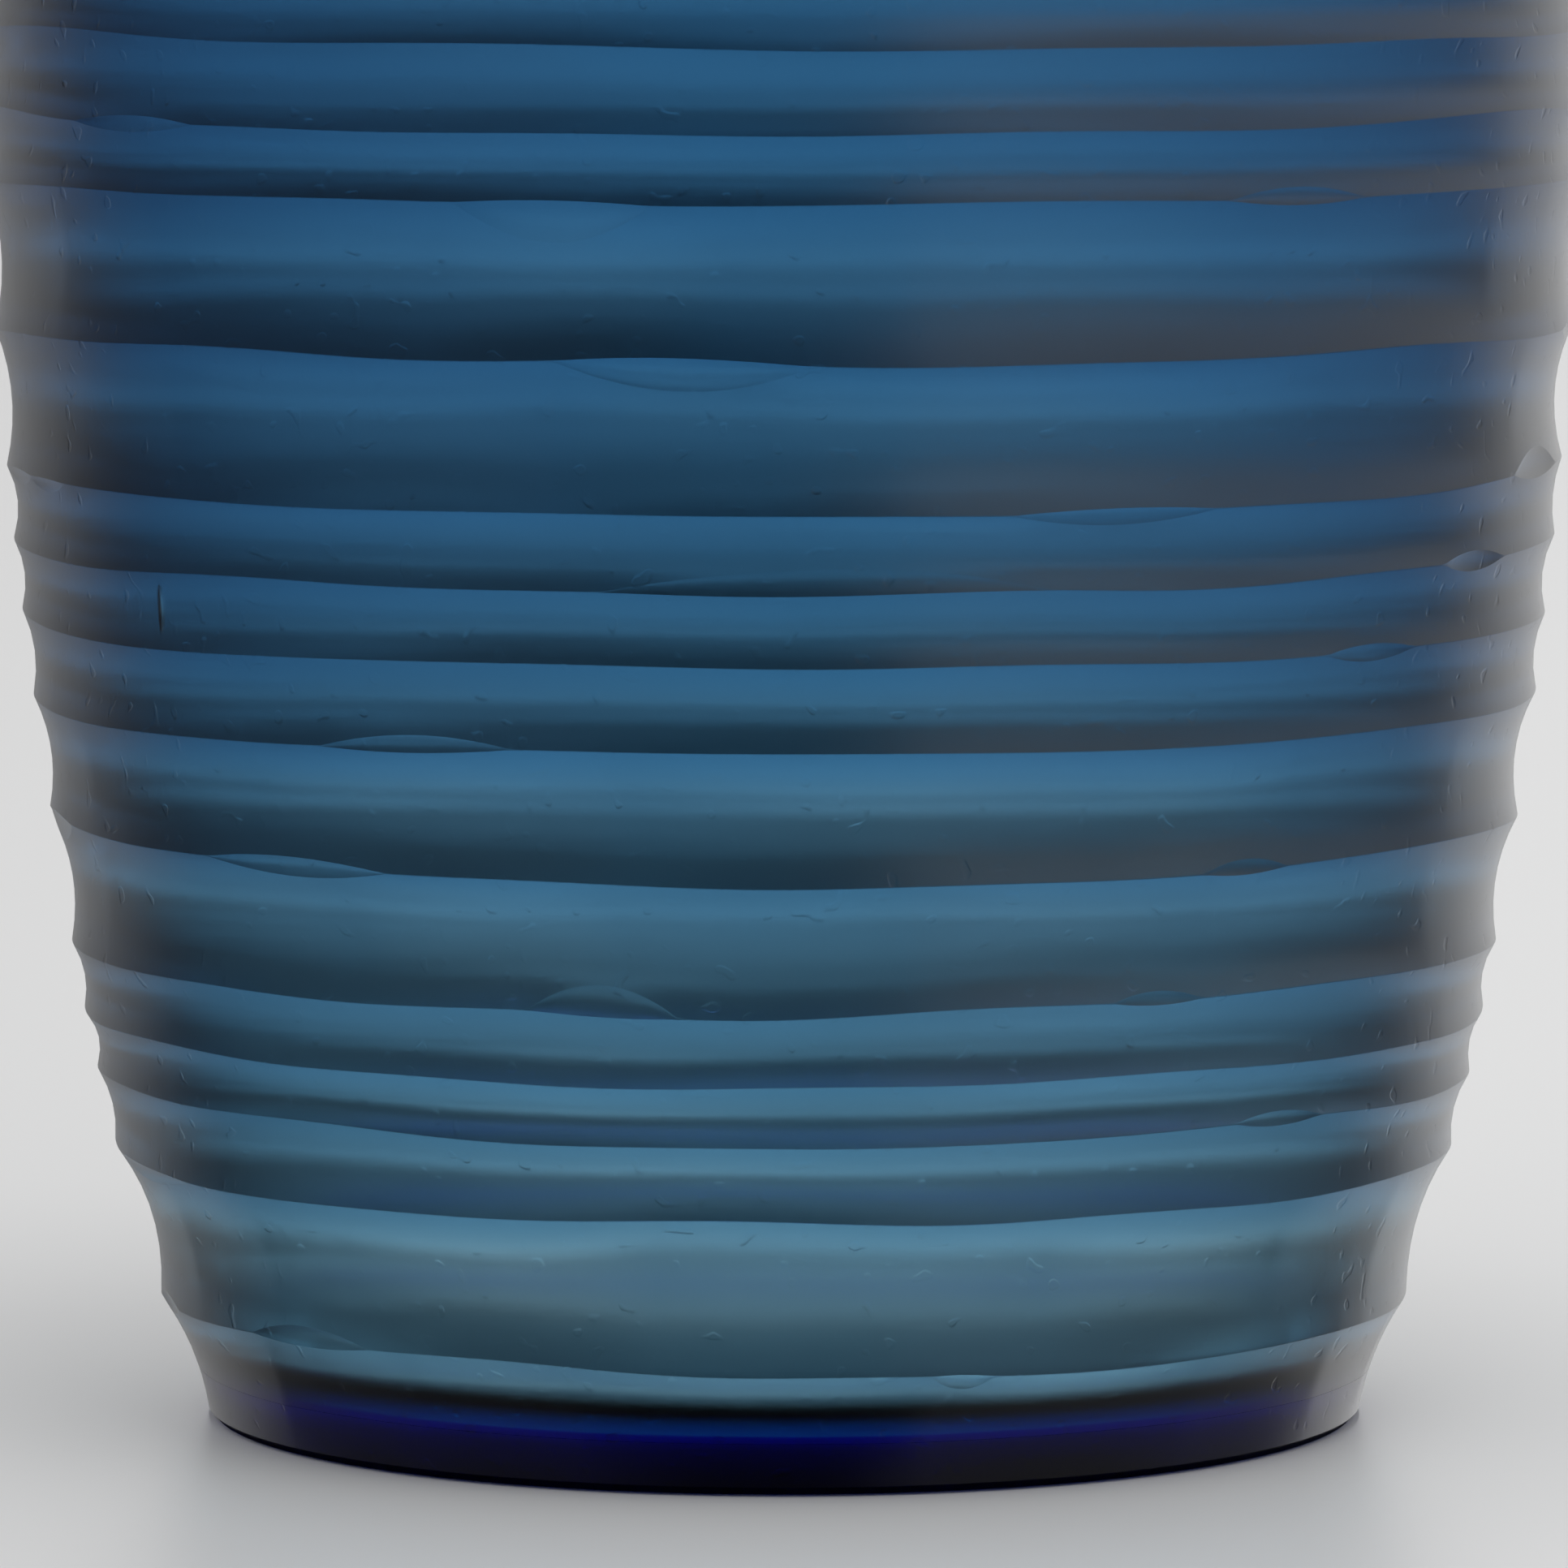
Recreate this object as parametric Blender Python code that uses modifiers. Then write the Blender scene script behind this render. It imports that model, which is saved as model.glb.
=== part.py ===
"""A wheel-cut bud vase of cased glass: a solid cobalt base, an inner lining and a cut outer casing.

Every part is turned about +Z. The origin is the centre of the ground base, where the vase stands.
Outlines are worked out in millimetres and built in metres.
"""

import math

import bpy

MM = 0.001
TURN_STEPS = 40
MERGE_DISTANCE = 0.0001
BISECTIONS = 50

# The blank is the vase before it is cut. Its outline is four cubic curves, as (radius, height) handles.
FOOT = (54.2, 0.7)
BELLY = (75.0, 138.0)
SHOULDER = (27.0, 201.0)
WAIST = (18.5, 214.0)
LIP = (22.5, 226.0)
BLANK_CURVES = (
    (FOOT, (69.0, 30.0), (75.0, 100.0), BELLY),
    (BELLY, (75.0, 170.0), (52.0, 188.0), SHOULDER),
    (SHOULDER, (20.5, 204.4), (18.5, 209.0), WAIST),
    (WAIST, (18.5, 219.0), (20.0, 223.0), LIP),
)
CURVE_SAMPLES = 60

# Widths of the cuts from the foot up, measured along the blank, and the depth of each kind of cut.
FOOT_CUT = 11.6
LOWEST_WIDE_CUT = 14.8
NARROW_CUTS = ((7.3, 5.7, 6.7), (7.6, 7.1, 6.9), (6.3, 7.5, 6.7), (7.1, 6.7, 7.0), (6.1, 5.6, 5.4))
WIDE_CUTS = ((12.0, 11.5), (13.1, 14.0), (12.8, 11.9), (11.6, 10.4))
FOOT_DEPTH = 0.7
WIDE_DEPTH = 0.95
NARROW_DEPTH = 0.55
NARROWEST_WIDE = 10.0
CUT_SEGMENTS = 3
WIDE_SEGMENTS = 4
UNCUT_NECK_SHARES = (0.3, 0.6, 0.85, 1.0)

# The layers, as depths under the blank. The gap keeps touching layers from overlapping.
CASING_AT_FOOT = 1.5
CASING_AT_BELLY = 4.2
CASING_GROWS_OVER = 100.0
WALL_THICKNESS = 5.8
GAP = 0.3
BASE_SHOULDER = 4.8
BASE_TOP = 5.6
FLOOR_TOP = 7.3
FLOOR_RADIUS = 46.0
FLOOR_BLEND_TOP = 11.5
FLOOR_BLEND_PULL = 0.6
FLOOR_SEGMENTS = 4
FOOT_CHAMFER = 0.7
WALL_STEP = 14.0
NECK_STEP = 5.0
MARGIN = 1.0

GLASS_IOR = 1.5
TRANSMISSION = 0.8
SATIN = 0.35
POLISHED = 0.05
COBALT = (0.004, 0.004, 0.30)
BLUE = (0.02, 0.10, 0.26)
STEEL_BLUE = (0.06, 0.16, 0.24)


def clear_scene():
    for obj in list(bpy.data.objects):
        bpy.data.objects.remove(obj, do_unlink=True)


def cubic(handles, t):
    """The point at t on a cubic curve with four (radius, height) handles."""
    weights = ((1 - t) ** 3, 3 * t * (1 - t) ** 2, 3 * t * t * (1 - t), t**3)
    return tuple(sum(w * h[axis] for w, h in zip(weights, handles)) for axis in (0, 1))


def blank_points():
    """The blank's outline from the foot to the lip, finely sampled."""
    points = [FOOT]
    for handles in BLANK_CURVES:
        points += [cubic(handles, i / CURVE_SAMPLES) for i in range(1, CURVE_SAMPLES + 1)]
    return points


class Blank:
    """The blank's outline, read by the distance along it."""

    def __init__(self):
        self.points = blank_points()
        self.along = [0.0]
        for a, b in zip(self.points, self.points[1:]):
            self.along.append(self.along[-1] + math.dist(a, b))
        self.length = self.along[-1]

    def at(self, distance):
        """The point at a distance along the outline, and the unit normal that points outwards."""
        distance = min(max(distance, 0.0), self.length)
        i = next(i for i in range(1, len(self.along)) if self.along[i] >= distance)
        step = self.along[i] - self.along[i - 1]
        share = (distance - self.along[i - 1]) / step
        (r0, z0), (r1, z1) = self.points[i - 1], self.points[i]
        point = (r0 + share * (r1 - r0), z0 + share * (z1 - z0))
        return point, ((z1 - z0) / step, (r0 - r1) / step)

    def under(self, distance, depth):
        """The point at this depth under the outline."""
        (r, z), (nr, nz) = self.at(distance)
        return r - depth * nr, z - depth * nz

    def where(self, height, depth_at):
        """The distance along the outline at which the point at depth_at(distance) reaches a height."""
        low, high = 0.0, self.length
        for _ in range(BISECTIONS):
            middle = (low + high) / 2
            if self.under(middle, depth_at(middle))[1] < height:
                low = middle
            else:
                high = middle
        return low


def blank_surface(distance):
    return 0.0


def casing_depth(distance):
    """The casing's thickness under the blank, which grows from the foot to the belly."""
    share = min(distance / CASING_GROWS_OVER, 1.0)
    return CASING_AT_FOOT + share * (CASING_AT_BELLY - CASING_AT_FOOT)


def lining_depth(distance):
    return casing_depth(distance) + GAP


def wall_depth(distance):
    return WALL_THICKNESS


def cut_widths():
    """The widths of all cuts from the foot up: a foot cut, a wide one, then narrow and wide ones in turn."""
    widths = [FOOT_CUT, LOWEST_WIDE_CUT]
    for i, narrow in enumerate(NARROW_CUTS):
        widths += narrow
        if i < len(WIDE_CUTS):
            widths += WIDE_CUTS[i]
    return widths


def cut_outline(blank):
    """The outer outline from the foot to the lip: hollow cuts that meet in ridges on the blank."""
    points = [blank.under(0.0, 0.0)]
    start = 0.0
    for i, width in enumerate(cut_widths()):
        is_wide = width > NARROWEST_WIDE
        depth = FOOT_DEPTH if i == 0 else WIDE_DEPTH if is_wide else NARROW_DEPTH
        segments = WIDE_SEGMENTS if is_wide else CUT_SEGMENTS
        for j in range(1, segments + 1):
            share = j / segments
            sag = depth * 4 * share * (1 - share)
            points.append(blank.under(start + share * width, sag))
        start += width
    rest = blank.length - start
    for share in UNCUT_NECK_SHARES:
        points.append(blank.under(start + share * rest, 0.0))
    return points


def outline_at(outline, height):
    """The point where an outline that rises first reaches a height."""
    for (r0, z0), (r1, z1) in zip(outline, outline[1:]):
        if z0 <= height <= z1:
            return r0 + (r1 - r0) * (height - z0) / (z1 - z0), height
    raise ValueError(f"the outline does not reach {height}")


def wall_stations(blank):
    """Distances along the blank at which every smooth wall has a point, closer together at the neck."""
    neck_start = blank.where(SHOULDER[1], blank_surface)
    stations = [i * WALL_STEP for i in range(1, math.ceil(neck_start / WALL_STEP))]
    neck_steps = math.ceil((blank.length - neck_start) / NECK_STEP)
    stations += [neck_start + i * NECK_STEP for i in range(neck_steps)]
    return stations


def point_at(blank, depth_at, height):
    """The point at a height on the surface that lies depth_at(distance) under the blank."""
    distance = blank.where(height, depth_at)
    return blank.under(distance, depth_at(distance))


def wall_outline(blank, depth_at, bottom):
    """The smooth outline at a depth under the blank, from a height up to the level of the lip."""
    ends = [point_at(blank, depth_at, height) for height in (bottom, LIP[1])]
    middle = [blank.under(station, depth_at(station)) for station in wall_stations(blank)]
    inside = [point for point in middle if bottom + MARGIN < point[1] < LIP[1] - MARGIN]
    return [(ends[0][0], bottom)] + inside + [(ends[1][0], LIP[1])]


def turned(name, outline, closed, material, collection):
    """A solid turned from an outline, which runs down its outer side."""
    mesh = bpy.data.meshes.new(name)
    verts = [(r * MM, 0.0, z * MM) for r, z in outline]
    edges = [(i, i + 1) for i in range(len(verts) - 1)]
    if closed:
        edges.append((len(verts) - 1, 0))
    mesh.from_pydata(verts, edges, [])
    obj = bpy.data.objects.new(name, mesh)
    collection.objects.link(obj)
    screw = obj.modifiers.new("turn", "SCREW")
    screw.axis = "Z"
    screw.angle = math.tau
    screw.steps = TURN_STEPS
    screw.render_steps = TURN_STEPS
    screw.use_merge_vertices = True
    screw.merge_threshold = MERGE_DISTANCE
    screw.use_smooth_shade = True
    mesh.materials.append(material)
    return obj


def glass(name, colour, roughness):
    """See-through glass of one colour, satin or polished."""
    material = bpy.data.materials.new(name)
    material.use_nodes = True
    shader = material.node_tree.nodes["Principled BSDF"]
    shader.inputs["Base Color"].default_value = (*colour, 1.0)
    shader.inputs["Roughness"].default_value = roughness
    shader.inputs["Metallic"].default_value = 0.0
    shader.inputs["IOR"].default_value = GLASS_IOR
    shader.inputs["Transmission Weight"].default_value = TRANSMISSION
    return material


def make_outer_casing(blank, outside, collection):
    """The outer layer with the cuts, open at the mouth and at the foot, where it rests on the base."""
    bottom = BASE_SHOULDER + GAP
    outer = [point for point in outside if point[1] > bottom]
    edge = outline_at(outside, bottom)
    inner = wall_outline(blank, casing_depth, bottom)
    loop = outer[::-1] + [edge] + inner
    return turned("outer_casing", loop, True, glass("steel_blue_glass", STEEL_BLUE, SATIN), collection)


def make_inner_lining(blank, collection):
    """The inner layer that holds the water: a deep cup with a rounded floor and a level rim."""
    bottom = BASE_TOP + GAP
    outer = wall_outline(blank, lining_depth, bottom)
    wall = wall_outline(blank, wall_depth, FLOOR_BLEND_TOP)
    drop = wall[0][1] - FLOOR_TOP
    lean = (wall[1][0] - wall[0][0]) / (wall[1][1] - wall[0][1])
    corner = (
        (FLOOR_RADIUS, FLOOR_TOP),
        (FLOOR_RADIUS + FLOOR_BLEND_PULL * (wall[0][0] - FLOOR_RADIUS), FLOOR_TOP),
        (wall[0][0] - FLOOR_BLEND_PULL * drop * lean, FLOOR_TOP + (1 - FLOOR_BLEND_PULL) * drop),
        wall[0],
    )
    floor = [(0.0, FLOOR_TOP)] + [cubic(corner, i / FLOOR_SEGMENTS) for i in range(FLOOR_SEGMENTS)]
    loop = floor + wall + outer[::-1] + [(0.0, bottom)]
    return turned("inner_lining", loop, False, glass("blue_glass", BLUE, POLISHED), collection)


def make_solid_base(blank, outside, collection):
    """The thick cobalt base: a disc ground flat underneath, with a raised middle inside the casing."""
    foot_side = [point for point in outside if point[1] < BASE_SHOULDER]
    loop = [
        (0.0, BASE_TOP),
        point_at(blank, lining_depth, BASE_TOP),
        point_at(blank, lining_depth, BASE_SHOULDER),
        outline_at(outside, BASE_SHOULDER),
    ]
    loop += foot_side[::-1] + [(FOOT[0] - FOOT_CHAMFER, 0.0), (0.0, 0.0)]
    return turned("solid_base", loop, False, glass("cobalt_glass", COBALT, SATIN), collection)


def main():
    clear_scene()
    collection = bpy.data.collections.new("cut_glass_bud_vase")
    bpy.context.scene.collection.children.link(collection)
    blank = Blank()
    outside = cut_outline(blank)
    make_outer_casing(blank, outside, collection)
    make_inner_lining(blank, collection)
    make_solid_base(blank, outside, collection)


main()
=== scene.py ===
"""The looks of a blue bud vase, cut all round in horizontal hollows and left satin from the wheel.

Three glass pieces stand for the three CAD solids. Where they are fused, their faces let light
straight through, so they look like one thick wall. Outlines are in millimetres until they become
meshes. Azimuths are in degrees: 0 faces the camera and 90 is on its right.
"""

import math
import random
from typing import NamedTuple

import bmesh
import bpy
import numpy as np
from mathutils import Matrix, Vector


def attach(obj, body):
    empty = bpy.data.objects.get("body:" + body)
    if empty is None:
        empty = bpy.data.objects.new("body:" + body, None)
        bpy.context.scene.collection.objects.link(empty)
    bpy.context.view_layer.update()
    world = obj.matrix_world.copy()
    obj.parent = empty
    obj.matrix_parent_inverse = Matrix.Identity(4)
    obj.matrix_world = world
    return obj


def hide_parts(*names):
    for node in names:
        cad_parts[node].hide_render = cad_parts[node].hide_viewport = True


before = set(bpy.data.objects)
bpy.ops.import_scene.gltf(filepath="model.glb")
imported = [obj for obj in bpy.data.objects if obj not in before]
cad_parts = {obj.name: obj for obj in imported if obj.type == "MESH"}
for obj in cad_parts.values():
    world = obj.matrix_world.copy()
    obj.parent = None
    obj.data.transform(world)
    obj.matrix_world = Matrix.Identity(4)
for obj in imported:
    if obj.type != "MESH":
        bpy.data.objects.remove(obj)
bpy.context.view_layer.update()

MM = 0.001
COLUMNS = 440

# The blank before cutting: four cubic curves with (radius, height) handles, as in the CAD.
FOOT = (54.2, 0.7)
BELLY = (75.0, 138.0)
SHOULDER = (27.0, 201.0)
WAIST = (18.5, 214.0)
LIP = (22.5, 226.0)
BLANK_CURVES = (
    (FOOT, (69.0, 30.0), (75.0, 100.0), BELLY),
    (BELLY, (75.0, 170.0), (52.0, 188.0), SHOULDER),
    (SHOULDER, (20.5, 204.4), (18.5, 209.0), WAIST),
    (WAIST, (18.5, 219.0), (20.0, 223.0), LIP),
)
CURVE_SAMPLES = 80
BISECTIONS = 50

# Cut widths from the foot up, measured along the blank.
FOOT_CUT = 11.6
LOWEST_WIDE_CUT = 14.8
NARROW_CUTS = ((7.3, 5.7, 6.7), (7.6, 7.1, 6.9), (6.3, 7.5, 6.7), (7.1, 6.7, 7.0), (6.1, 5.6, 5.4))
WIDE_CUTS = ((12.0, 11.5), (13.1, 14.0), (12.8, 11.9), (11.6, 10.4))
NARROWEST_WIDE = 10.0
FOOT_DEPTH = 0.8
LOWEST_WIDE_DEPTH = 1.15
WIDE_DEPTH = 1.0
NARROW_DEPTH = 0.62
WIDE_ROWS = 7
NARROW_ROWS = 4
NECK_ROWS = 10
RIDGE_WIDTH = 0.08
RIDGE_DEPTH = 0.05

# The random draws of the cuts. Waves are (size in mm or as a share, fewest, most waves per turn).
CUT_DRAWS = 11
RIDGE_WAVES = ((0.32, 1, 4), (0.16, 5, 12))
RIDGE_DEPTH_WAVES = (0.06, 2, 8)
SAG_WAVES = (0.12, 1, 6)
WAVE_SIZES = (0.5, 1.0)

# The separate passes of the wheel along a wide cut, in degrees round the vase.
PASS_START = 30
PASS_OVERLAP = 8
PASS_REACH = (12, 30)
PASS_LEAN = 3
PASS_SPACING = (0.9, 1.3)
PASS_DEPTH = 0.3
PASS_HOLLOW = 0.5

# Lens-shaped touches of the wheel over a ridge: ridge number from the foot, azimuth, half its
# width in degrees, its height in mm and how much of that is below the ridge.
TOUCHES = (
    (1, -48, 8, 2.0, 0.3), (1, 16, 3, 1.6, 0.9), (3, 44, 5, 1.4, 0.5), (5, -14, 6, 2.8, 0.1),
    (5, 30, 4, 1.3, 0.3), (6, 37, 4, 1.4, 0.3), (6, -40, 9, 1.8, 0.6), (8, 48, 5, 1.6, 0.6),
    (9, 3, 16, 2.3, 0.1), (9, 61, 5, 1.9, 0.5), (11, -7, 9, 3.0, 0.9), (12, -16, 7, 3.8, 0.9),
    (12, 38, 6, 1.6, 0.3), (13, -52, 7, 1.5, 0.5), (10, 24, 8, 1.5, 0.7), (7, -28, 8, 1.6, 0.3),
)
TOUCH_HOLLOW = 0.085
SIDE_DRAWS = 5
SIDE_TOUCHES = 46
SIDE_AZIMUTHS = (68, 292)
SIDE_HALF_WIDTHS = (3, 11)
SIDE_HEIGHTS = (1.2, 3.0)
SIDE_LOW_SHARES = (0.1, 0.9)

# The layers, as depths under the blank. The seam is the gap between them.
CASING_AT_FOOT = 1.5
CASING_AT_BELLY = 4.2
CASING_GROWS_OVER = 100.0
WALL_THICKNESS = 5.8
SEAM = 0.02

# The base, and the floor inside, which a bend joins to the wall.
FOOT_CHAMFER = 0.7
FOOT_MIDDLE = 25.0
BASE_SHOULDER = 4.8
BASE_TOP = 5.6
FLOOR_TOP = 7.3
FLOOR_RADIUS = 46.0
FLOOR_RING_SHARES = (0.33, 0.66)
FLOOR_BLEND_TOP = 11.5
FLOOR_BLEND_PULL = 0.6

# One upright seed bubble in the casing's glass.
SEED_AZIMUTH = -53.0
SEED_HEIGHT = 79.0
SEED_RADIUS = 0.45
SEED_HALF_HEIGHT = 2.5
SEED_SEGMENTS = 16
SEED_RINGS = 10

# The meshes of the smooth surfaces, and the angle in degrees from which any corner is sharp.
LINING_ROWS = 30
WALL_ROWS = 44
BEND_ROWS = 13
ROW_CLEARANCE = 0.3
SHARP_CORNER = 35.0

# The glass. From here on, lengths are in metres. Absorption is per metre, in red, green and blue.
GLASS_IOR = 1.5
GROUND_ROUGHNESS = 0.3
POLISHED_ROUGHNESS = 0.03
STREAKS_PER_METRE = 1500.0
STREAK_STRETCH = 25.0
STREAK_HEIGHT = 0.000004
PITS_PER_METRE = 700.0
PIT_EDGE = (0.72, 0.8)
PIT_DEPTH = 0.00002
CASING_ABSORPTION = (445.0, 253.0, 153.0)
LINING_ABSORPTION = (63.0, 19.0, 9.0)
BASE_ABSORPTION = (500.0, 350.0, 38.0)
ABSORPTION_HEADROOM = 1.01

# What stands outside the vase: the table, and a dark patch under the foot.
WHITE = (1.0, 1.0, 1.0, 1.0)
TABLE_COLOUR = (0.75, 0.75, 0.752, 1.0)
TABLE_ROUGHNESS = 0.35
TABLE_GAP = 0.0002
TABLE_REACH = 12.0
FOOT_SHADOW_COLOUR = (0.01, 0.01, 0.02, 1.0)

# Strengths of the studio. Through the glass it is dark low down, brightest near the horizon and
# dimmer above. Mirrored in the glass it is dark in front and left, with a soft box on the right.
SEEN_BACKDROP = 0.8
ROOM_LIGHT = 0.85
TABLE_THROUGH_GLASS = 0.9
LOW_THROUGH_GLASS = 0.02
HORIZON_THROUGH_GLASS = 1.15
SKY_THROUGH_GLASS = 0.35
TABLE_EDGE = (-0.35, -0.7)
LOW_EDGE = (-0.12, 0.03)
SKY_EDGE = (0.1, 0.26)
MIRRORED_FRONT = 0.03
MIRRORED_LEFT = 0.12
MIRRORED_RIGHT = 0.9
MIRRORED_RIGHT_LOW = 0.25
MIRRORED_BACK = (0.5, 1.1)
RIGHT_PANEL_EDGE = (0.25, 0.36)
RIGHT_PANEL_FOOT = (-0.05, 0.1)
LEFT_EDGE = (-0.2, -0.7)
BACK_EDGE = (0.35, 0.8)
BACK_SPREAD = (-0.3, 0.3)

# The key light: a soft square panel, in front and high up on the right.
KEY_AZIMUTH = 25
KEY_ELEVATION = 70
KEY_DISTANCE = 3.0
KEY_AIM = Vector((0.0, 0.0, 0.1))
KEY_SIDE = 1.5
KEY_POWER = 16.0

# The camera. Its focal length is given in widths of its frame.
CAMERA_PITCH = 5.5
CAMERA_DISTANCE = 1.1196
CAMERA_AIM_HEIGHT = 0.059
CAMERA_SENSOR = 36.0
CAMERA_FRAME_WIDTHS = 7.60870
CAMERA_REACH = 30.0


def cubic(handles, t):
    """Points at t, an array, on a cubic curve with four (radius, height) handles."""
    weights = np.stack([(1 - t) ** 3, 3 * t * (1 - t) ** 2, 3 * t * t * (1 - t), t**3])
    return weights.T @ np.array(handles)


class Blank:
    """The blank's outline, read by the distance along it."""

    def __init__(self):
        t = np.linspace(0.0, 1.0, CURVE_SAMPLES + 1)
        parts = [cubic(handles, t)[1 if i else 0:] for i, handles in enumerate(BLANK_CURVES)]
        self.points = np.concatenate(parts)
        steps = np.diff(self.points, axis=0)
        lengths = np.hypot(steps[:, 0], steps[:, 1])
        self.along = np.concatenate([[0.0], np.cumsum(lengths)])
        self.length = self.along[-1]
        self.normal_at = (self.along[1:] + self.along[:-1]) / 2
        self.normals = np.stack([steps[:, 1], -steps[:, 0]], axis=1) / lengths[:, None]

    def under(self, along, depth):
        """(radius, height) at this depth under the outline."""
        r = np.interp(along, self.along, self.points[:, 0])
        z = np.interp(along, self.along, self.points[:, 1])
        nr = np.interp(along, self.normal_at, self.normals[:, 0])
        nz = np.interp(along, self.normal_at, self.normals[:, 1])
        size = np.hypot(nr, nz)
        return r - depth * nr / size, z - depth * nz / size

    def where(self, height, depth):
        """The distance along the outline at which the point at this depth reaches a height."""
        low, high = 0.0, self.length
        for _ in range(BISECTIONS):
            middle = (low + high) / 2
            if self.under(middle, depth)[1] < height:
                low = middle
            else:
                high = middle
        return low


blank = Blank()
theta = np.arange(COLUMNS) * (math.tau / COLUMNS)


class Row(NamedTuple):
    """A ring of the surface: its radius and height at each column, and whether it is a sharp ridge."""

    r: np.ndarray
    z: np.ndarray
    sharp: bool = False


def cut_widths():
    """The widths of all cuts from the foot up: the lowest two, then narrow and wide ones in turn."""
    widths = [FOOT_CUT, LOWEST_WIDE_CUT]
    for i, narrow in enumerate(NARROW_CUTS):
        widths += narrow
        if i < len(WIDE_CUTS):
            widths += WIDE_CUTS[i]
    return widths


def cut_sag(i, width):
    """The depth of the middle of cut number i."""
    if i == 0:
        return FOOT_DEPTH
    if i == 1:
        return LOWEST_WIDE_DEPTH
    return WIDE_DEPTH if width > NARROWEST_WIDE else NARROW_DEPTH


def wander(rng, size, fewest, most):
    """A smooth random line round the vase: fewest to most waves per turn, of this rough size."""
    line = np.zeros(COLUMNS)
    for wave in range(fewest, most + 1):
        amount = size * rng.uniform(*WAVE_SIZES) / math.sqrt(most - fewest + 1)
        line += amount * math.sqrt(2) * np.sin(wave * theta + rng.uniform(0, math.tau))
    return line


def turn_from(azimuth):
    """The signed angle from an azimuth in degrees to each column, in degrees."""
    return (np.degrees(theta) - azimuth + 180.0) % 360.0 - 180.0


def wheel_passes(rng, share):
    """Extra depth left by the separate passes of a cut: shallow hollows that meet in upright edges."""
    depth = np.full(COLUMNS, -np.inf)
    azimuth = rng.uniform(0, PASS_START)
    end = azimuth + 360 - PASS_OVERLAP
    while azimuth < end:
        reach = rng.uniform(*PASS_REACH)
        lean = rng.uniform(-PASS_LEAN, PASS_LEAN)
        away = turn_from(azimuth + lean * (share - 0.5)) / reach
        depth = np.maximum(depth, rng.uniform(0.0, PASS_DEPTH) - PASS_HOLLOW * away**2)
        azimuth += reach * rng.uniform(*PASS_SPACING)
    return depth


def touches():
    """How far each ridge's top reaches above and below the ridge line: two arrays, a row per ridge."""
    rng = random.Random(SIDE_DRAWS)
    ridges = len(cut_widths()) + 1
    placed = list(TOUCHES)
    for _ in range(SIDE_TOUCHES):
        ridge = rng.randrange(1, ridges)
        azimuth = rng.uniform(*SIDE_AZIMUTHS)
        half_width = rng.uniform(*SIDE_HALF_WIDTHS)
        height = rng.uniform(*SIDE_HEIGHTS)
        placed.append((ridge, azimuth, half_width, height, rng.uniform(*SIDE_LOW_SHARES)))
    rise = np.full((ridges, COLUMNS), RIDGE_WIDTH / 2)
    fall = np.full((ridges, COLUMNS), RIDGE_WIDTH / 2)
    for ridge, azimuth, half_width, height, low_share in placed:
        lens = height * np.maximum(0.0, 1 - (turn_from(azimuth) / half_width) ** 2)
        rise[ridge] = np.maximum(rise[ridge], lens * (1 - low_share))
        fall[ridge] = np.maximum(fall[ridge], lens * low_share)
    return rise, fall


def cut_rows():
    """Rows of (distance along the blank, depth, sharp) from the foot edge to the lip."""
    rng = random.Random(CUT_DRAWS)
    widths = cut_widths()
    ridge_at = [np.zeros(COLUMNS)]
    ridge_depth = [np.zeros(COLUMNS)]
    start = 0.0
    for width in widths:
        start += width
        slow, fast = (wander(rng, *waves) for waves in RIDGE_WAVES)
        ridge_at.append(start + slow + fast)
        ridge_depth.append(RIDGE_DEPTH + np.abs(wander(rng, *RIDGE_DEPTH_WAVES)))
    rise, fall = touches()
    rows = []
    for i, width in enumerate(widths):
        wide = width > NARROWEST_WIDE
        sag = cut_sag(i, width) * (1 + wander(rng, *SAG_WAVES))
        count = WIDE_ROWS if wide else NARROW_ROWS
        pass_seed = rng.random()
        span = ridge_at[i + 1] - ridge_at[i]
        first = rise[i] / span
        last = 1 - fall[i + 1] / span
        below_ridge = rows[-1] if rows else None
        for j in range(count + 1):
            share = first + (last - first) * j / count
            depth = ridge_depth[i] + share * (ridge_depth[i + 1] - ridge_depth[i])
            passes = wheel_passes(random.Random(pass_seed), j / count) if wide else 0.0
            hollow = 4 * share * (1 - share) * (sag + passes)
            row = (ridge_at[i] + share * span, depth + hollow, j in (0, count))
            if j == 0 and below_ridge:
                dish = TOUCH_HOLLOW * (rise[i] + fall[i] - RIDGE_WIDTH)
                along, under = ((below_ridge[axis] + row[axis]) / 2 for axis in (0, 1))
                rows.append((along, under + dish, False))
            rows.append(row)
    last = ridge_at[-1] + rise[-1]
    depth = ridge_depth[-1]
    for share in np.linspace(0.0, 1.0, NECK_ROWS):
        rows.append((last + share * (blank.length - last), depth * (1 - share), share == 0.0))
    return rows


def outside_rows():
    """The outer surface from the foot edge to the lip."""
    return [Row(*blank.under(along, depth), sharp) for along, depth, sharp in cut_rows()]


def level(outline_rows, height):
    """The radius of the outer surface at a height, for each column."""
    r = np.array([row.r for row in outline_rows])
    z = np.array([row.z for row in outline_rows])
    return np.array([np.interp(height, z[:, c], r[:, c]) for c in range(COLUMNS)])


def ring(radius, height):
    """A level row, or one with a radius for each column."""
    return Row(np.broadcast_to(radius, COLUMNS), np.broadcast_to(height, COLUMNS))


def casing_depth(along):
    """The casing's thickness, which grows from the foot to the belly."""
    share = np.clip(along / CASING_GROWS_OVER, 0.0, 1.0)
    return CASING_AT_FOOT + (CASING_AT_BELLY - CASING_AT_FOOT) * share


def wall_depth(along):
    """The depth of the smooth inside, the same all the way up."""
    return WALL_THICKNESS


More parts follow.
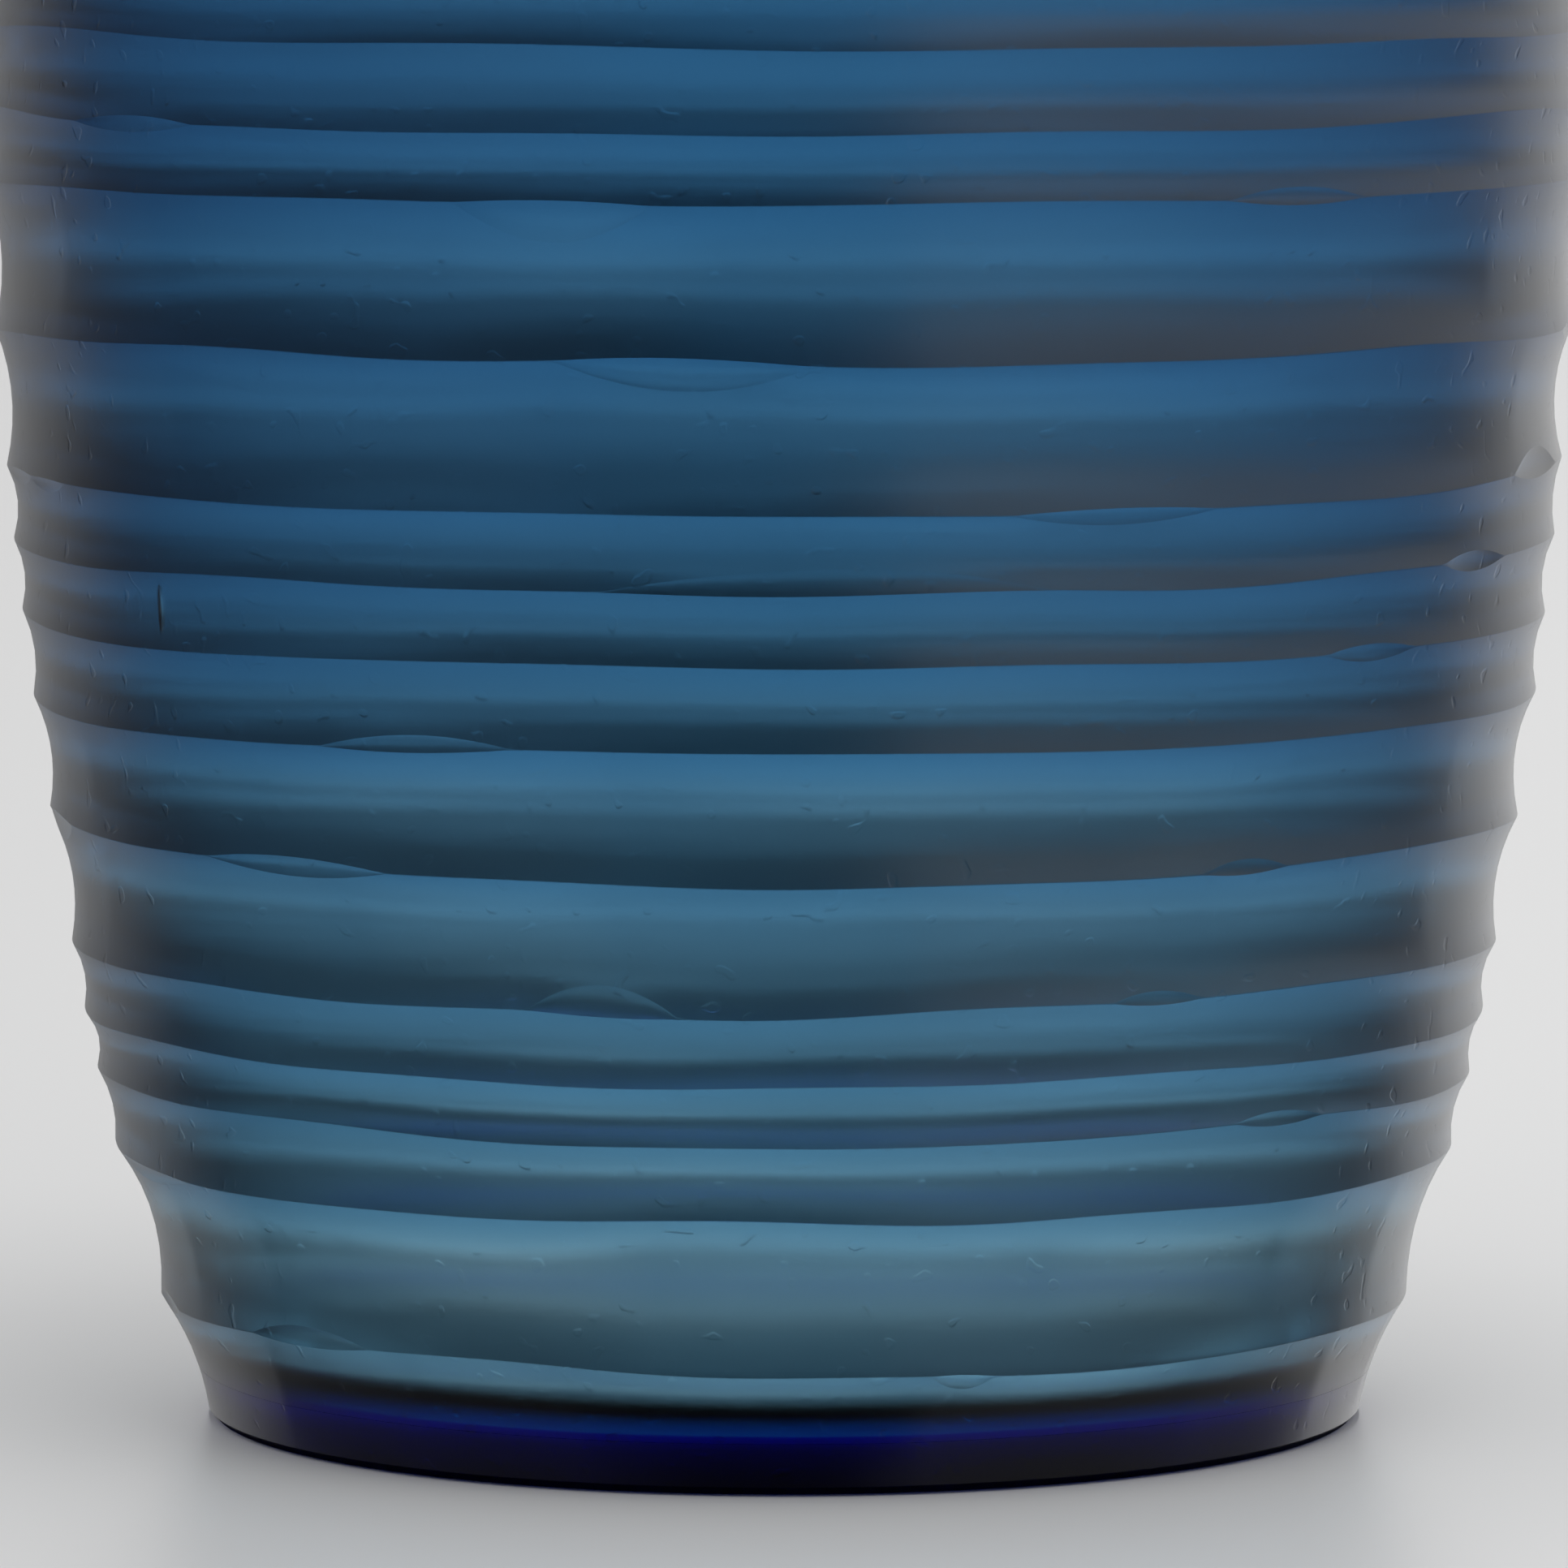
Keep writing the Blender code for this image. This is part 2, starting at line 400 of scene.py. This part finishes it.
def wall_rows(depth_at, extra, bottom, count):
    """Level rows of a smooth wall at a depth under the blank, from a height up to the lip."""
    first = blank.where(bottom, depth_at(0.0) + extra)
    last = blank.where(LIP[1], depth_at(blank.length) + extra)
    rows = []
    for along in np.linspace(first, last, count):
        r, z = blank.under(along, depth_at(along) + extra)
        rows.append(ring(r, z))
    rows[0] = ring(rows[0].r, bottom)
    rows[-1] = ring(rows[-1].r, LIP[1])
    return rows


def mark_sharp(mesh, rows, starts):
    """Makes the ridges and the square corners sharp, and leaves all other edges smooth."""
    mesh.set_sharp_from_angle(angle=math.radians(SHARP_CORNER))
    ends = np.zeros(2 * len(mesh.edges), dtype=np.int32)
    mesh.edges.foreach_get("vertices", ends)
    row_of = (np.searchsorted(starts, ends, side="right") - 1).reshape(-1, 2)
    ridges = [i for i, row in enumerate(rows) if row.sharp]
    sharp = np.zeros(len(mesh.edges), dtype=bool)
    mesh.edges.foreach_get("use_edge_sharp", sharp)
    sharp |= (row_of[:, 0] == row_of[:, 1]) & np.isin(row_of[:, 0], ridges)
    mesh.edges.foreach_set("use_edge_sharp", sharp)


def solid(name, bands, closed):
    """A solid of revolution from bands of rows.

    bands is a list of (rows, surface): the rows run up the outside, over and down the inside, and
    surface is "ground", "polished" or "fused" for the faces from each row to the next one. An
    open loop starts and ends on the axis.
    """
    rows = [row for band, _ in bands for row in band]
    kinds = [kind for band, kind in bands for _ in band]
    verts = []
    starts = []
    for r, z, _ in rows:
        starts.append(len(verts))
        if not closed and float(np.max(r)) == 0.0:
            verts.append((0.0, 0.0, float(z[0]) * MM))
            continue
        x = r * np.sin(theta) * MM
        y = -r * np.cos(theta) * MM
        verts.extend(zip(x.tolist(), y.tolist(), (z * MM).tolist()))
    sizes = [b - a for a, b in zip(starts, starts[1:] + [len(verts)])]
    faces = []
    ground = []
    fused = []
    pairs = len(rows) if closed else len(rows) - 1
    for i in range(pairs):
        k = (i + 1) % len(rows)
        a, b = starts[i], starts[k]
        for c in range(COLUMNS):
            d = (c + 1) % COLUMNS
            if sizes[i] == 1:
                faces.append((a, b + d, b + c))
            elif sizes[k] == 1:
                faces.append((a + c, a + d, b))
            else:
                faces.append((a + c, a + d, b + d, b + c))
        ground += [1.0 if kinds[i] == "ground" else 0.0] * COLUMNS
        fused += [1.0 if kinds[i] == "fused" else 0.0] * COLUMNS
    mesh = bpy.data.meshes.new(name)
    mesh.from_pydata(verts, [], faces)
    for label, values in (("ground", ground), ("fused", fused)):
        mesh.attributes.new(label, "FLOAT", "FACE").data.foreach_set("value", values)
    mesh.shade_smooth()
    mark_sharp(mesh, rows, starts)
    obj = bpy.data.objects.new(name, mesh)
    bpy.context.scene.collection.objects.link(obj)
    return obj


def above(rows, height):
    """The rows that lie wholly above a height."""
    return [row for row in rows if float(np.min(row.z)) > height]


def below(rows, height):
    """The rows that lie wholly below a height."""
    return [row for row in rows if float(np.max(row.z)) < height]


def make_seed():
    """The skin of one upright seed bubble in the casing's glass. Its faces look into the bubble."""
    azimuth = math.radians(SEED_AZIMUTH)
    depth = casing_depth(blank.where(SEED_HEIGHT, 0.0)) / 2
    radius = blank.under(blank.where(SEED_HEIGHT, depth), depth + SEED_RADIUS)[0]
    centre = Vector((radius * math.sin(azimuth), -radius * math.cos(azimuth), SEED_HEIGHT))
    around = [math.tau * c / SEED_SEGMENTS for c in range(SEED_SEGMENTS)]
    points = []
    for i in range(1, SEED_RINGS):
        rise = math.pi * i / SEED_RINGS
        reach = SEED_RADIUS * math.sin(rise)
        height = -SEED_HALF_HEIGHT * math.cos(rise)
        points += [Vector((reach * math.cos(turn), reach * math.sin(turn), height)) for turn in around]
    low_end, high_end = len(points), len(points) + 1
    points += [Vector((0.0, 0.0, -SEED_HALF_HEIGHT)), Vector((0.0, 0.0, SEED_HALF_HEIGHT))]
    top_ring = low_end - SEED_SEGMENTS
    faces = []
    for c in range(SEED_SEGMENTS):
        d = (c + 1) % SEED_SEGMENTS
        faces.append((c, d, low_end))
        for a in range(0, top_ring, SEED_SEGMENTS):
            b = a + SEED_SEGMENTS
            faces.append((b + c, b + d, a + d, a + c))
        faces.append((high_end, top_ring + d, top_ring + c))
    mesh = bpy.data.meshes.new("seed")
    mesh.from_pydata([(centre + point) * MM for point in points], [], faces)
    mesh.shade_smooth()
    return mesh


def make_casing(outside):
    """The outer layer: cut outside, fused to the lining inside and to the base underneath."""
    bottom = BASE_SHOULDER + SEAM
    outer = [ring(level(outside, bottom), bottom)] + above(outside, bottom + ROW_CLEARANCE)
    rim = ring(outer[-1].r, LIP[1])
    inner = wall_rows(casing_depth, 0.0, bottom, LINING_ROWS)[::-1]
    casing = solid("cut_casing", [(outer, "ground"), ([rim], "ground"), (inner, "fused")], True)
    joined = bmesh.new()
    joined.from_mesh(casing.data)
    joined.from_mesh(make_seed())
    joined.to_mesh(casing.data)
    joined.free()
    return casing


def make_lining():
    """The inner layer: fused outside and underneath, polished inside with a rounded floor."""
    bottom = BASE_TOP + SEAM
    outer = wall_rows(casing_depth, SEAM, bottom, LINING_ROWS)
    inner = wall_rows(wall_depth, 0.0, FLOOR_BLEND_TOP, WALL_ROWS)
    wall_r, next_r = inner[0].r[0], inner[1].r[0]
    lean = (next_r - wall_r) / (inner[1].z[0] - FLOOR_BLEND_TOP)
    drop = FLOOR_BLEND_TOP - FLOOR_TOP
    corner = (
        (FLOOR_RADIUS, FLOOR_TOP),
        (FLOOR_RADIUS + FLOOR_BLEND_PULL * (wall_r - FLOOR_RADIUS), FLOOR_TOP),
        (wall_r - FLOOR_BLEND_PULL * drop * lean, FLOOR_TOP + (1 - FLOOR_BLEND_PULL) * drop),
        (wall_r, FLOOR_BLEND_TOP),
    )
    bend = [ring(r, z) for r, z in cubic(corner, np.linspace(0, 1, BEND_ROWS))[:-1]]
    floor = [ring(FLOOR_RADIUS * share, FLOOR_TOP) for share in FLOOR_RING_SHARES]
    centre_low, centre_floor = ring(0.0, bottom), ring(0.0, FLOOR_TOP)
    return solid("water_lining", [
        ([centre_low] + outer[:-1], "fused"),
        (outer[-1:], "ground"),
        (inner[::-1] + bend[::-1] + floor[::-1] + [centre_floor], "polished"),
    ], False)


def make_base(outside):
    """The solid base: a ground side, and faces above and underneath that light passes straight through."""
    seam_depth = CASING_AT_FOOT + SEAM
    low_r = blank.under(blank.where(BASE_SHOULDER, seam_depth), seam_depth)[0]
    high_r = blank.under(blank.where(BASE_TOP, seam_depth), seam_depth)[0]
    side = below(outside, BASE_SHOULDER - ROW_CLEARANCE)
    shoulder = ring(level(outside, BASE_SHOULDER), BASE_SHOULDER)
    return solid("ground_base", [
        ([ring(0.0, 0.0), ring(FOOT_MIDDLE, 0.0)], "fused"),
        ([ring(FOOT[0] - FOOT_CHAMFER, 0.0)] + side, "ground"),
        ([shoulder, ring(low_r, BASE_SHOULDER), ring(high_r, BASE_TOP), ring(0.0, BASE_TOP)], "fused"),
    ], False)


def glass(name, absorption):
    """Blue glass: polished or fused where the faces say so, and elsewhere satin from the wheel."""
    material = bpy.data.materials.new(name)
    material.use_nodes = True
    tree = material.node_tree
    nodes, links = tree.nodes, tree.links
    shader = nodes["Principled BSDF"]
    shader.inputs["Base Color"].default_value = WHITE
    shader.inputs["Transmission Weight"].default_value = 1.0

    def face_value(label):
        node = nodes.new("ShaderNodeAttribute")
        node.attribute_type = "GEOMETRY"
        node.attribute_name = label
        return node.outputs["Fac"]

    def between(value, low, high, out_low, out_high, clamp=False):
        node = nodes.new("ShaderNodeMapRange")
        node.clamp = clamp
        labels = ("From Min", "From Max", "To Min", "To Max")
        for label, number in zip(labels, (low, high, out_low, out_high)):
            node.inputs[label].default_value = number
        links.new(value, node.inputs["Value"])
        return node.outputs["Result"]

    def maths(operation, one, other):
        node = nodes.new("ShaderNodeMath")
        node.operation = operation
        for socket, value in zip(node.inputs, (one, other)):
            if isinstance(value, float):
                socket.default_value = value
            else:
                links.new(value, socket)
        return node.outputs["Value"]

    def placed(stretch):
        """Object coordinates in grains of one unit, squeezed upright by the stretch."""
        node = nodes.new("ShaderNodeMapping")
        node.inputs["Scale"].default_value = (1.0, 1.0, 1.0 / stretch)
        links.new(coords.outputs["Object"], node.inputs["Vector"])
        return node.outputs["Vector"]

    def noise(per_metre, stretch):
        node = nodes.new("ShaderNodeTexNoise")
        node.inputs["Scale"].default_value = per_metre
        node.inputs["Detail"].default_value = 0.0
        links.new(placed(stretch), node.inputs["Vector"])
        return node.outputs["Fac"]

    coords = nodes.new("ShaderNodeTexCoord")
    ground = face_value("ground")
    streaks = noise(STREAKS_PER_METRE, STREAK_STRETCH)
    pits = between(noise(PITS_PER_METRE, 1.0), *PIT_EDGE, 0.0, 1.0, clamp=True)

    links.new(between(face_value("fused"), 0.0, 1.0, GLASS_IOR, 1.0), shader.inputs["IOR"])
    links.new(between(ground, 0.0, 1.0, POLISHED_ROUGHNESS, GROUND_ROUGHNESS), shader.inputs["Roughness"])

    height = maths("SUBTRACT", maths("MULTIPLY", streaks, STREAK_HEIGHT), maths("MULTIPLY", pits, PIT_DEPTH))
    bump = nodes.new("ShaderNodeBump")
    bump.inputs["Distance"].default_value = 1.0
    links.new(maths("MULTIPLY", height, ground), bump.inputs["Height"])
    links.new(bump.outputs["Normal"], shader.inputs["Normal"])

    volume = nodes.new("ShaderNodeVolumeAbsorption")
    density = max(absorption) * ABSORPTION_HEADROOM
    volume.inputs["Density"].default_value = density
    volume.inputs["Color"].default_value = tuple(1 - a / density for a in absorption) + (1.0,)
    links.new(volume.outputs["Volume"], nodes["Material Output"].inputs["Volume"])
    return material


outside = outside_rows()
steel_blue = glass("steel_blue_glass", CASING_ABSORPTION)
pale_blue = glass("pale_blue_glass", LINING_ABSORPTION)
cobalt = glass("cobalt_glass", BASE_ABSORPTION)
for piece, node, slot, material in (
    (make_casing(outside), "outer_casing", "casing_glass", steel_blue),
    (make_lining(), "inner_lining", "lining_glass", pale_blue),
    (make_base(outside), "solid_base", "base_glass", cobalt),
):
    piece.data.materials.append(material)
    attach(piece, "root")
    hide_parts(node)


def staged_sheet(name, corners, colour, roughness):
    """A level sheet that isn't part of the vase, and its shader."""
    mesh = bpy.data.meshes.new(name)
    mesh.from_pydata(corners, [], [tuple(range(len(corners)))])
    sheet = bpy.data.objects.new(name, mesh)
    bpy.context.scene.collection.objects.link(sheet)
    material = bpy.data.materials.new(name)
    material.use_nodes = True
    shader = material.node_tree.nodes["Principled BSDF"]
    shader.inputs["Base Color"].default_value = colour
    shader.inputs["Roughness"].default_value = roughness
    mesh.materials.append(material)
    return sheet, shader


def make_table():
    """The table that the camera sees and the shadow falls on. The glass meets the studio instead."""
    square = ((-1, -1), (1, -1), (1, 1), (-1, 1))
    corners = [(x * TABLE_REACH, y * TABLE_REACH, -TABLE_GAP) for x, y in square]
    table, _ = staged_sheet("pale_table", corners, TABLE_COLOUR, TABLE_ROUGHNESS)
    table.visible_transmission = False
    table.visible_glossy = False


def make_foot_shadow():
    """The unlit patch of table under the foot, which the light through the glass meets."""
    x, y = FOOT[0] * MM * np.sin(theta), FOOT[0] * MM * np.cos(theta)
    corners = [(float(a), float(b), -TABLE_GAP / 2) for a, b in zip(x, y)]
    patch, shader = staged_sheet("foot_shadow", corners, FOOT_SHADOW_COLOUR, 1.0)
    shader.inputs["Specular IOR Level"].default_value = 0.0
    patch.visible_camera = False
    patch.visible_diffuse = False
    patch.visible_shadow = False


def make_world():
    """A plain pale backdrop, and the studio's strength by direction for each kind of ray."""
    world = bpy.data.worlds.new("studio")
    bpy.context.scene.world = world
    world.use_nodes = True
    tree = world.node_tree
    nodes, links = tree.nodes, tree.links
    background = nodes["Background"]
    coords = nodes.new("ShaderNodeTexCoord")
    split = nodes.new("ShaderNodeSeparateXYZ")
    links.new(coords.outputs["Generated"], split.inputs["Vector"])

    def smooth(value, low, high, out_low, out_high):
        node = nodes.new("ShaderNodeMapRange")
        node.interpolation_type = "SMOOTHSTEP"
        for label, number in (("From Min", low), ("From Max", high)):
            node.inputs[label].default_value = number
        for label, number in (("To Min", out_low), ("To Max", out_high)):
            if isinstance(number, float):
                node.inputs[label].default_value = number
            else:
                links.new(number, node.inputs[label])
        links.new(value, node.inputs["Value"])
        return node.outputs["Result"]

    def brightest(one, other):
        node = nodes.new("ShaderNodeMath")
        node.operation = "MAXIMUM"
        links.new(one, node.inputs[0])
        links.new(other, node.inputs[1])
        return node.outputs["Value"]

    x, y, z = (split.outputs[axis] for axis in "XYZ")
    table_below = smooth(z, *TABLE_EDGE, LOW_THROUGH_GLASS, TABLE_THROUGH_GLASS)
    low = smooth(z, *LOW_EDGE, table_below, HORIZON_THROUGH_GLASS)
    through = smooth(z, *SKY_EDGE, low, SKY_THROUGH_GLASS)
    panel = smooth(z, *RIGHT_PANEL_FOOT, MIRRORED_RIGHT_LOW, MIRRORED_RIGHT)
    right = smooth(x, *RIGHT_PANEL_EDGE, MIRRORED_FRONT, panel)
    left = smooth(x, *LEFT_EDGE, MIRRORED_FRONT, MIRRORED_LEFT)
    back = smooth(y, *BACK_EDGE, 0.0, smooth(x, *BACK_SPREAD, *MIRRORED_BACK))
    mirrored = brightest(brightest(left, right), back)
    path = nodes.new("ShaderNodeLightPath")
    lit = smooth(path.outputs["Is Diffuse Ray"], 0.0, 1.0, mirrored, ROOM_LIGHT)
    inside = smooth(path.outputs["Is Transmission Ray"], 0.0, 1.0, lit, through)
    seen = smooth(path.outputs["Is Camera Ray"], 0.0, 1.0, inside, SEEN_BACKDROP)
    links.new(seen, background.inputs["Strength"])
    background.inputs["Color"].default_value = WHITE


def make_key():
    """The soft panel that lights the table and casts the vase's shadow."""
    data = bpy.data.lights.new("key", "AREA")
    data.size = KEY_SIDE
    data.energy = KEY_POWER
    key = bpy.data.objects.new("key", data)
    azimuth, elevation = math.radians(KEY_AZIMUTH), math.radians(KEY_ELEVATION)
    away = Vector((
        math.sin(azimuth) * math.cos(elevation),
        -math.cos(azimuth) * math.cos(elevation),
        math.sin(elevation),
    ))
    key.location = KEY_AIM + KEY_DISTANCE * away
    key.rotation_euler = (-away).to_track_quat("-Z", "Y").to_euler()
    key.visible_camera = False
    bpy.context.scene.collection.objects.link(key)


def make_camera():
    """A camera in front of the vase that looks a little down, at a point on its axis."""
    data = bpy.data.cameras.new("camera")
    data.sensor_width = CAMERA_SENSOR
    data.lens = CAMERA_SENSOR * CAMERA_FRAME_WIDTHS
    data.clip_end = CAMERA_REACH
    camera = bpy.data.objects.new("camera", data)
    pitch = math.radians(CAMERA_PITCH)
    camera.location = (
        0.0,
        -CAMERA_DISTANCE * math.cos(pitch),
        CAMERA_AIM_HEIGHT + CAMERA_DISTANCE * math.sin(pitch),
    )
    camera.rotation_euler = (math.pi / 2 - pitch, 0.0, 0.0)
    bpy.context.scene.collection.objects.link(camera)
    bpy.context.scene.camera = camera


make_table()
make_foot_shadow()
make_world()
make_key()
make_camera()
bpy.context.scene.view_settings.view_transform = "Standard"
